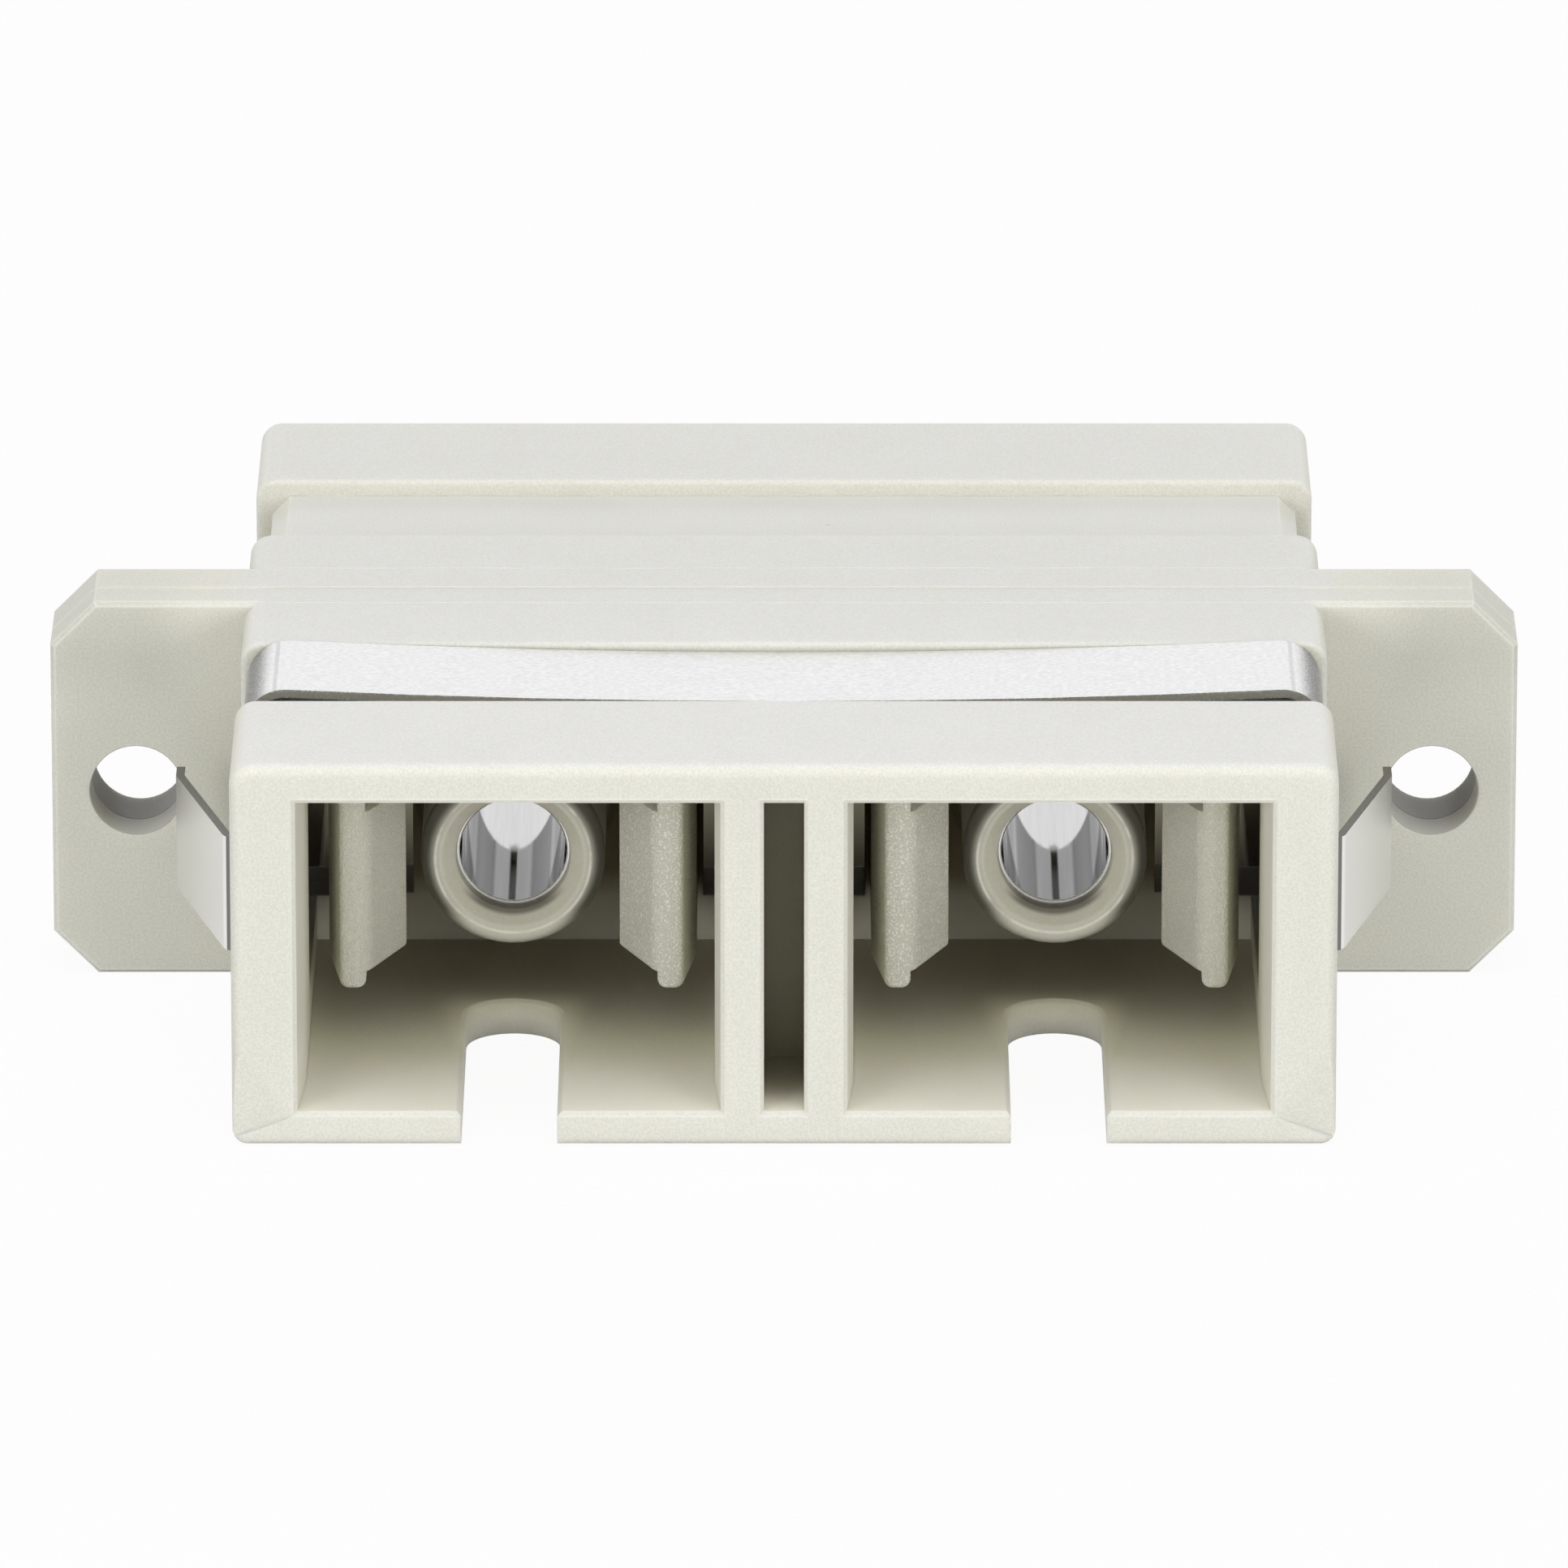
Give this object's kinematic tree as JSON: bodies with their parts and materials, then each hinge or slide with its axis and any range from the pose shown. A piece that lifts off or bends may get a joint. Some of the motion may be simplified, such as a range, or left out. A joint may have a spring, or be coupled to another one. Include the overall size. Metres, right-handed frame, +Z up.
{
  "type": "sc duplex fibre coupler",
  "caption": "Flanged panel coupler that joins duplex push-pull fibre plugs end to end through slit alignment sleeves, with latch arms in each port and a sprung panel clip.",
  "frame": {"origin": "on the flange's front face, midway between the two port axes and the two screw holes", "axes": "+X to the right seen from the front, along the row of ports; +Y from the front mouths to the rear mouths; +Z up, with the key slots underneath"},
  "size_m": [0.0346, 0.0274, 0.0093],
  "materials": {
    "housing": "fine satin moulding, ivory grey",
    "latch_holder": "satin moulding with spark-eroded hook faces, ivory grey",
    "sleeve": "polished nickel-silver",
    "clip": "satin stainless spring sheet"
  },
  "bodies": {
    "root": {"front_housing": "housing", "rear_housing": "housing", "front_left_latch_holder": "latch_holder", "front_right_latch_holder": "latch_holder", "rear_left_latch_holder": "latch_holder", "rear_right_latch_holder": "latch_holder", "left_split_sleeve": "sleeve", "right_split_sleeve": "sleeve", "spring_clip": "clip"}
  },
  "joints": []
}
